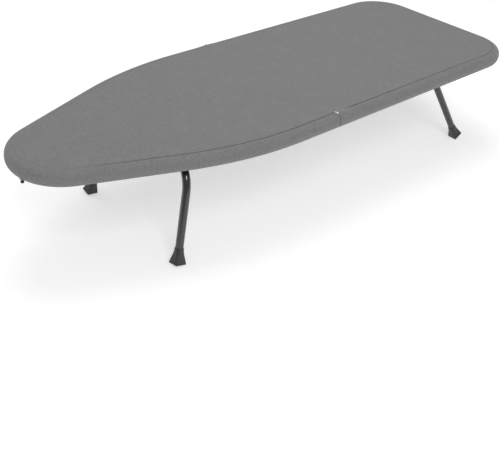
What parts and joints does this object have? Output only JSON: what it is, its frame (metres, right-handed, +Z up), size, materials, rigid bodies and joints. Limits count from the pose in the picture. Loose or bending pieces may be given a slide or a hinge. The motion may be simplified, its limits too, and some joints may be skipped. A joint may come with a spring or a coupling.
{
  "type": "tabletop ironing board",
  "caption": "Folding tabletop ironing board: padded two-part board hinged at the middle, two folding U legs, locking sleeves and a swivelling hanging hook.",
  "frame": {"origin": "on the floor under the fold line, midway between the two long edges of the standing board", "axes": "+X along the board towards its square tail, +Y towards its right side, +Z up from the feet to the ironing surface"},
  "size_m": [0.8, 0.3, 0.1625],
  "materials": {
    "cover_fabric": "grey heathered woven cotton",
    "pad_felt": "white needled felt",
    "black_steel": "gloss black powder coat",
    "bright_steel": "bright zinc plating",
    "hook_chrome": "polished chrome plating",
    "foot_plastic": "black moulded plastic with a fine grain",
    "sleeve_plastic": "dark grey moulded plastic",
    "cord_black": "black braided cord"
  },
  "bodies": {
    "nose_half": {"cord_knot": "cord_black", "cord_lock": "foot_plastic", "draw_cord": "cord_black", "hinge_pin_left": "bright_steel", "hinge_pin_right": "bright_steel", "nose_cover": "cover_fabric", "nose_end_bar": "black_steel", "nose_hinge_plate_left": "bright_steel", "nose_hinge_plate_right": "bright_steel", "nose_mesh": "black_steel", "nose_pad": "pad_felt", "nose_rail_left": "black_steel", "nose_rail_right": "black_steel", "nose_rim": "black_steel", "nose_rivet_left_inner": "bright_steel", "nose_rivet_left_outer": "bright_steel", "nose_rivet_right_inner": "bright_steel", "nose_rivet_right_outer": "bright_steel", "nose_saddle": "black_steel"},
    "tail_half": {"hook_rivet": "bright_steel", "hook_strap": "black_steel", "hook_strap_rivet_left": "bright_steel", "hook_strap_rivet_right": "bright_steel", "tail_cover": "cover_fabric", "tail_end_bar": "black_steel", "tail_hinge_plate_left": "bright_steel", "tail_hinge_plate_right": "bright_steel", "tail_mesh": "black_steel", "tail_pad": "pad_felt", "tail_rail_left": "black_steel", "tail_rail_right": "black_steel", "tail_rim": "black_steel", "tail_rivet_left_inner": "bright_steel", "tail_rivet_left_outer": "bright_steel", "tail_rivet_right_inner": "bright_steel", "tail_rivet_right_outer": "bright_steel", "tail_saddle": "black_steel"},
    "nose_leg": {"nose_foot_left": "foot_plastic", "nose_foot_right": "foot_plastic", "nose_leg": "black_steel", "nose_stop_pin": "bright_steel"},
    "tail_leg": {"tail_foot_left": "foot_plastic", "tail_foot_right": "foot_plastic", "tail_leg": "black_steel", "tail_stop_pin": "bright_steel"},
    "sleeve_left": {"lock_sleeve_left": "sleeve_plastic"},
    "sleeve_right": {"lock_sleeve_right": "sleeve_plastic"},
    "hook": {"hook_tip_cap": "foot_plastic", "hook_wire": "hook_chrome"}
  },
  "joints": [
    {"name": "board_fold", "type": "hinge", "parent": "nose_half", "child": "tail_half", "pos_m": [0, 0, 0.1602], "axis": [0, -1, 0], "range_deg": [0, 180]},
    {"name": "nose_leg_fold", "type": "hinge", "parent": "nose_half", "child": "nose_leg", "pos_m": [-0.203, 0, 0.13235], "axis": [0, -1, 0], "range_deg": [0, 106]},
    {"name": "tail_leg_fold", "type": "hinge", "parent": "tail_half", "child": "tail_leg", "pos_m": [0.269, 0, 0.13235], "axis": [0, 1, 0], "range_deg": [0, 119]},
    {"name": "sleeve_left_slide", "type": "slide", "parent": "nose_half", "child": "sleeve_left", "axis": [1, 0, 0], "range_m": [0, 0.021]},
    {"name": "sleeve_right_slide", "type": "slide", "parent": "nose_half", "child": "sleeve_right", "axis": [1, 0, 0], "range_m": [0, 0.021]},
    {"name": "hook_swivel", "type": "hinge", "parent": "tail_half", "child": "hook", "pos_m": [0.36, 0, 0.13475], "axis": [0, 0, -1], "range_deg": [0, 160]}
  ]
}
